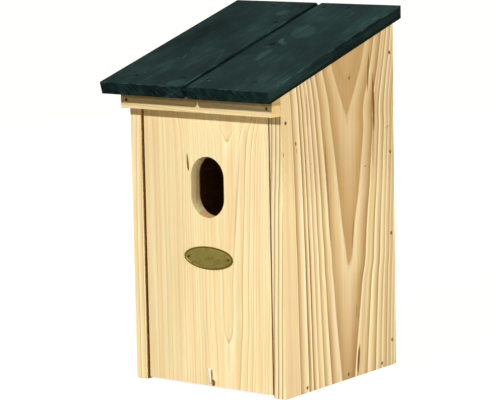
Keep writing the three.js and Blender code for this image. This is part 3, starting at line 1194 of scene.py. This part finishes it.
@dataclass
class Front:
    """The swinging front and its oval plate.

    The plate sits fittings to the right of the middle. Inside its rim come a groove and a field, which rises
    in steps: pairs of the share that a step keeps of the last one's width, and how tall it is.
    """

    face: float = -76.25
    fittings: float = 1.7
    plate_height: float = 104.4
    plate_size: tuple[float, float] = (47.5, 18.0)
    plate_thickness: float = 0.8
    rim: float = 1.1
    rim_edge: float = 0.2
    rim_rise: float = 0.05
    groove: float = 0.35
    groove_depth: float = 0.28
    field_rises: Pairs = ((0.8, 0.08), (0.55, 0.05))
    plate_sides: int = 96

    def board(self) -> Board:
        """The front board with its cut."""
        cut = Cut(
            face=(0, self.face, 0), across=(1, 0, 0), inward=(0, 1, 0), seed=53,
            middle=((-10, 18), (38, 19.5), (60, 19.6), (90, 19.8), (120, 20), (140, 20.5), (190, 21.4),
                (200, 22), (240, 22.5)),
            rise=((-10, -3), (12, -2), (38, -0.8), (48, 0.5), (60, 1), (90, 1.3), (120, 3), (140, 3.9),
                (190, 7.1), (200, 8.5), (206, 11.2), (213, 16), (225, 25), (240, 34)),
            before=((-40, 0.05), (-4, 0.05), (-1.8, 0.8), (4.4, 0.05), (6.8, 0.7), (14.9, 0.25),
                (18.9, 0.45), (22.5, 0.55), (25.7, 0.6), (28.4, 0.55), (30.8, 0.6), (33.2, 0.55),
                (35.8, 0.6), (38.2, 0.55), (40.5, 0.65), (43.7, 0.6), (50, 0.12), (58.3, 0.3), (61.7, 0.35),
                (71.7, 0.3), (90, 0.2)),
            after=((-40, 0.05), (-4, 0.05), (-1.8, 0.8), (4.4, 0.05), (6.8, 1), (15.2, 0.75), (20.9, 0.8),
                (25.3, 0.75), (28, 0.6), (31, 0.6), (34, 0.6), (37, 0.5), (40, 0.6), (44, 0.5), (60, 0.5)),
            depth=6, slant=0.8, wander=1.2, ripple=0.8, knots=(Knot(-17.4, 178, 0.1, 1.6, 8, 0),),
            spots=(Spot(-17.3, 179, 1.15, 7.5, 0.85, -0.07), Spot(-16.9, 176, 0.9, 4.5, 0.7, -0.1),
                # Spot(3.4, 4.6) is painted shade in the recess round the hook's hole.
                Spot(3.4, 4.6, 2.3, 3, 0.9), Spot(19.4, 27, 1.6, 12, 0.1),
                Spot(30.9, 158, 0.9, 44, 0.34, 0.085), Spot(-47, 120, 28, 170, 0.075),
                Spot(-41, 130, 1.8, 90, 0.05, -0.01)),
        )
        return Board("front_board", "front_panel", "door", "pine_front", cut, PALE_PINE, arris=0.65)

    def _on_rim(self, face: bmesh.types.BMFace) -> bool:
        """Whether a face of the plate, lying flat, belongs to its rim or its edge."""
        pairs = zip(face.calc_center_median().xy, self.plate_size)
        return sum((place / (size / 2 - self.rim)) ** 2 for place, size in pairs) > 1

    def plate(self) -> bpy.types.Object:
        """Makes the oval plate: a raised rim, a groove inside it and a slightly domed field.

        Returns:
            The piece.
        """
        shape = Shape()
        bm = shape.mesh
        bmesh.ops.create_circle(bm, cap_ends=True, segments=self.plate_sides, radius=0.5)
        bmesh.ops.scale(bm, vec=(*self.plate_size, 1), verts=bm.verts)
        extruded = bmesh.ops.extrude_face_region(bm, geom=bm.faces[:], use_keep_orig=True)["geom"]
        top = [item for item in extruded if isinstance(item, bmesh.types.BMFace)]
        raised = [item for item in extruded if isinstance(item, bmesh.types.BMVert)]
        bmesh.ops.translate(bm, vec=(0, 0, self.plate_thickness), verts=raised)
        steps = ((self.rim_edge, 0.0), (self.rim - self.rim_edge, self.rim_rise),
                 (self.groove, -self.groove_depth), (self.groove, 0.1), (self.rim_edge, 0.02))
        for thickness, rise in steps:
            bmesh.ops.inset_region(bm, faces=top, thickness=thickness, depth=rise, use_even_offset=True)
        for share, rise in self.field_rises:
            bmesh.ops.inset_region(bm, faces=top, thickness=0.0, depth=0.0)
            corners = list({vertex for face in top for vertex in face.verts})
            bmesh.ops.scale(bm, vec=(share, share, 1), verts=corners)
            bmesh.ops.translate(bm, vec=(0, 0, rise), verts=corners)
        bmesh.ops.recalc_face_normals(bm, faces=bm.faces)
        shape.mark("rim", self._on_rim)
        place = Matrix.Translation((self.fittings, self.face, self.plate_height))
        bmesh.ops.transform(bm, matrix=place @ Matrix.Rotation(math.pi / 2, 4, "X"), verts=bm.verts)
        return shape.piece("brass_plate", "door", "plate_brass", AGED_BRASS.material("plate_brass"),
                           ["oval_plate"], smooth_under=40)


@dataclass
class Hook:
    """The screw hook: a threaded shank, a tight bend and a short leg with a round end.

    The shank crosses its hole's mouth at place and tapers over the cone's share of the tail to a blunt tip.
    The thread is as deep as its number says, leaves a core, and runs out that far behind the mouth.
    """

    wire: float = 2.2
    place: Point = (2.2, -65.25, 5.005)
    tail: float = 9.5
    blunt: float = 0.12
    cone: float = 0.3
    reach: float = 13.8
    bend: float = 1.9
    leg: float = 12.0
    dome: float = 0.8
    lean: float = math.radians(-3.0)
    pitch: float = 1.1
    thread: float = 0.26
    core: float = 0.3
    runout: float = 0.6
    tail_steps: int = 96
    bend_steps: int = 9
    sides: int = 20

    def stations(self) -> list[tuple[Vector, Vector, float]]:
        """Walks along the wire, from the tail to the leg's end.

        Returns:
            Places, with the wire's direction and radius there.
        """
        radius = self.wire / 2
        forward, up = Vector((0, -1, 0)), Vector((0, 0, 1))
        found = []
        for i in range(self.tail_steps + 1):
            back = self.tail * (1 - i / self.tail_steps)
            taper = min(1.0, self.blunt + i / (self.tail_steps * self.cone))
            found.append((Vector((0, back, 0)), forward, radius * taper))
        straight = self.reach - self.bend
        for share in (0.5, 1.0):
            found.append((forward * straight * share, forward, radius))
        for i in range(1, self.bend_steps + 1):
            angle = math.pi / 2 * i / self.bend_steps
            corner = Vector((0, -straight - self.bend * math.sin(angle), self.bend * (1 - math.cos(angle))))
            found.append((corner, Vector((0, -math.cos(angle), math.sin(angle))), radius))
        top = self.leg - radius * self.dome
        found.append((Vector((0, -self.reach, (self.bend + top) / 2)), up, radius))
        for share in (0.0, 0.45, 0.75, 0.92, 0.99):
            height = top + radius * self.dome * share
            found.append((Vector((0, -self.reach, height)), up, radius * math.sqrt(1 - share ** 2)))
        return found

    def build(self) -> bpy.types.Object:
        """Draws a ring of the wire along its stations and closes both ends.

        Returns:
            The piece.
        """
        shape = Shape()
        bm = shape.mesh
        rings = []
        for centre, direction, radius in self.stations():
            sideways = Vector((1, 0, 0))
            upward = direction.cross(sideways)
            ring = bmesh.ops.create_circle(bm, cap_ends=False, segments=self.sides, radius=radius)["verts"]
            turn = Matrix((sideways, upward, direction)).transposed().to_4x4()
            bmesh.ops.transform(bm, matrix=Matrix.Translation(centre) @ turn, verts=ring)
            rings.append(ring)
        self._cut_thread(rings)
        for first, second in zip(rings, rings[1:]):
            loops = [edge for edge in bm.edges
                     if all(v in first for v in edge.verts) or all(v in second for v in edge.verts)]
            bmesh.ops.bridge_loops(bm, edges=loops)
        for ring in (rings[0], rings[-1]):
            bmesh.ops.contextual_create(bm, geom=ring)
        bmesh.ops.recalc_face_normals(bm, faces=bm.faces)
        lean = Matrix.Rotation(self.lean, 4, "Y")
        bmesh.ops.transform(bm, matrix=Matrix.Translation(self.place) @ lean, verts=bm.verts)
        return shape.piece("zinc_hook", "hook", "hook_zinc", ZINC.material("hook_zinc"),
                           ["screw_hook"], smooth_under=50)

    def _cut_thread(self, rings: Sequence[Sequence[bmesh.types.BMVert]]) -> None:
        """Draws the tail in between the turns of a thread.

        Args:
            rings: the wire's rings, from the tail on.
        """
        for ring in rings:
            for vertex in ring:
                flat = Vector((vertex.co.x, 0, vertex.co.z))
                if vertex.co.y <= self.runout or flat.length < self.core:
                    continue
                turn = math.atan2(flat.z, flat.x) / (2 * math.pi)
                wave = abs(((vertex.co.y / self.pitch + turn) % 1.0) * 2 - 1)
                inner = 1 - self.thread / flat.length * wave
                vertex.co.x *= inner
                vertex.co.z *= inner


@dataclass(frozen=True)
class SoftLamp:
    """A large square lamp aimed at the object, that isn't seen itself.

    Attributes:
        azimuth: where it stands round the object, in degrees: 0 is in front and 90 to its right.
        away: its distance in metres, as its size is.
        power: its power in watts.
        mirrored: whether glossy surfaces mirror it.
    """

    name: str
    azimuth: float
    elevation: float
    away: float
    size: float
    power: float
    colour: Point = (1.0, 1.0, 1.0)
    mirrored: bool = True


@dataclass
class Studio:
    """The pale floor, the white surroundings, the lamps and the camera, in metres and degrees.

    The lens and the sensor are in millimetres. Mirrored is how white the floor or the sky is in a mirror.
    """

    azimuth: float = 37.141
    elevation: float = 8.713
    roll: float = -1.121
    target: Point = (0.01348, -0.03727, 0.14581)
    distance: float = 1.91457
    lens: float = 175.16
    sensor: float = 36.0
    floor_reach: float = 30.0
    floor_colour: Colour = display(150, 140, 116)
    floor_glow: float = 0.9
    floor_mirrored: float = 0.4
    sky_colour: Colour = (1.0, 0.8, 0.45, 1.0)
    sky_strength: float = 0.05
    sky_mirrored: float = 0.3
    key_power: float = 2.82
    key_width: float = 2.5
    key_azimuth: float = -3.0
    key_elevation: float = 33.5
    lamps: tuple[SoftLamp, ...] = (
        SoftLamp("side_fill", 97.0, 10.0, 1.6, 1.2, 19.6),
        SoftLamp("front_fill", 62.0, 4.0, 1.6, 1.2, 6.0, (1.0, 0.86, 0.6)),
        SoftLamp("low_fill", 70.0, -18.0, 0.42, 0.3, 0.85, (0.85, 0.96, 1.0)),
        SoftLamp("back_fill", 224.0, 9.0, 1.8, 1.4, 38.0, (1.0, 0.94, 0.84), mirrored=False),
    )

    def build(self) -> None:
        """Sets everything up."""
        bpy.context.scene.view_settings.view_transform = "Standard"
        self._camera()
        self._floor()
        self._surroundings()
        self._key()
        for lamp in self.lamps:
            self._soft(lamp)

    def _direction(self, azimuth: float, elevation: float) -> Vector:
        """From the object towards a place round it."""
        turn, lift = math.radians(azimuth), math.radians(elevation)
        return Vector((math.sin(turn) * math.cos(lift), -math.cos(turn) * math.cos(lift), math.sin(lift)))

    def _camera(self) -> None:
        """The camera at the photograph's angle, with its small roll."""
        back = self._direction(self.azimuth, self.elevation)
        turn, roll = math.radians(self.azimuth), math.radians(self.roll)
        level = Vector((math.cos(turn), math.sin(turn), 0))
        upright = back.cross(level)
        right = level * math.cos(roll) + upright * math.sin(roll)
        up = upright * math.cos(roll) - level * math.sin(roll)
        data = bpy.data.cameras.new("photo_camera")
        data.lens = self.lens
        data.sensor_width = self.sensor
        data.clip_end = 200.0
        camera = bpy.data.objects.new("photo_camera", data)
        turned = Matrix((right, up, back)).transposed().to_4x4()
        camera.matrix_world = Matrix.Translation(Vector(self.target) + back * self.distance) @ turned
        bpy.context.scene.collection.objects.link(camera)
        bpy.context.scene.camera = camera

    @staticmethod
    def _seen(shader: Shader, mirrored: float) -> Value:
        """How white a ray finds the background.

        Args:
            shader: the background's shader.
            mirrored: how white it is in a mirror.

        Returns:
            1 for the camera and through glass, and less in a mirror.
        """
        path = shader.node("ShaderNodeLightPath", {}, {})
        through = shader.value(path, "Is Transmission Ray")
        plain = shader.maths("MAXIMUM", shader.value(path, "Is Camera Ray"), through)
        return shader.maths("MAXIMUM", plain, shader.value(path, "Is Glossy Ray") * mirrored)

    def _floor(self) -> None:
        """A pale plain floor that the camera sees as white, with the object's soft shadow kept."""
        bm = bmesh.new()
        bmesh.ops.create_grid(bm, x_segments=1, y_segments=1, size=self.floor_reach)
        data = bpy.data.meshes.new("floor")
        bm.to_mesh(data)
        bm.free()
        floor = bpy.data.objects.new("floor", data)
        bpy.context.scene.collection.objects.link(floor)
        shader = Shader.named("floor")
        glow = self._seen(shader, self.floor_mirrored) * self.floor_glow
        matt = shader.node("ShaderNodeBsdfDiffuse", {}, {"Color": self.floor_colour})
        white = shader.node("ShaderNodeEmission", {}, {"Color": WHITE, "Strength": glow})
        both = shader.node("ShaderNodeAddShader", {}, {0: shader.value(matt), 1: shader.value(white)})
        shader.node("ShaderNodeOutputMaterial", {}, {"Surface": shader.value(both)})
        data.materials.append(shader.owner)

    def _surroundings(self) -> None:
        """White where they are seen or mirrored, and dim as a light."""
        shader = Shader(bpy.data.worlds.new("surroundings"))
        dim = {"Color": self.sky_colour, "Strength": self.sky_strength}
        skies = [shader.value(shader.node("ShaderNodeBackground", {}, inputs))
                 for inputs in (dim, {"Color": WHITE, "Strength": 1.0})]
        seen = self._seen(shader, self.sky_mirrored)
        both = shader.node("ShaderNodeMixShader", {}, {0: seen, 1: skies[0], 2: skies[1]})
        shader.node("ShaderNodeOutputWorld", {}, {"Surface": shader.value(both)})
        bpy.context.scene.world = shader.owner

    def _key(self) -> None:
        """The main light, nearly straight from the front and fairly high."""
        lamp = bpy.data.lights.new("key", "SUN")
        lamp.energy = self.key_power
        lamp.angle = math.radians(self.key_width)
        self._hang(lamp, self._direction(self.key_azimuth, self.key_elevation) * 3)

    def _soft(self, soft: SoftLamp) -> None:
        """Makes a soft lamp.

        Args:
            soft: what it is like.
        """
        lamp = bpy.data.lights.new(soft.name, "AREA")
        lamp.shape = "SQUARE"
        lamp.size = soft.size
        lamp.energy = soft.power
        lamp.color = soft.colour
        place = Vector(self.target) + self._direction(soft.azimuth, soft.elevation) * soft.away
        self._hang(lamp, place).visible_glossy = soft.mirrored

    def _hang(self, lamp: bpy.types.Light, place: Vector) -> bpy.types.Object:
        """Puts a lamp at a place, aimed at the object.

        Args:
            lamp: the lamp.
            place: where it hangs.

        Returns:
            The lamp's object.
        """
        item = bpy.data.objects.new(lamp.name, lamp)
        item.location = place
        item.rotation_mode = "QUATERNION"
        item.rotation_quaternion = (Vector(self.target) - place).to_track_quat("-Z", "Y")
        item.visible_camera = False
        bpy.context.scene.collection.objects.link(item)
        return item


def main() -> None:
    """Builds the dressed nest box and its studio."""
    logging.basicConfig(level=logging.INFO, format="%(message)s")
    front = Front()
    boards = (*Carcass().boards(), *Roof().boards(), front.board())
    pieces = [board.build() for board in boards]
    pieces += [front.plate(), Hook().build(), *Fixings().build()]
    Studio().build()


if __name__ == "__main__":
    main()
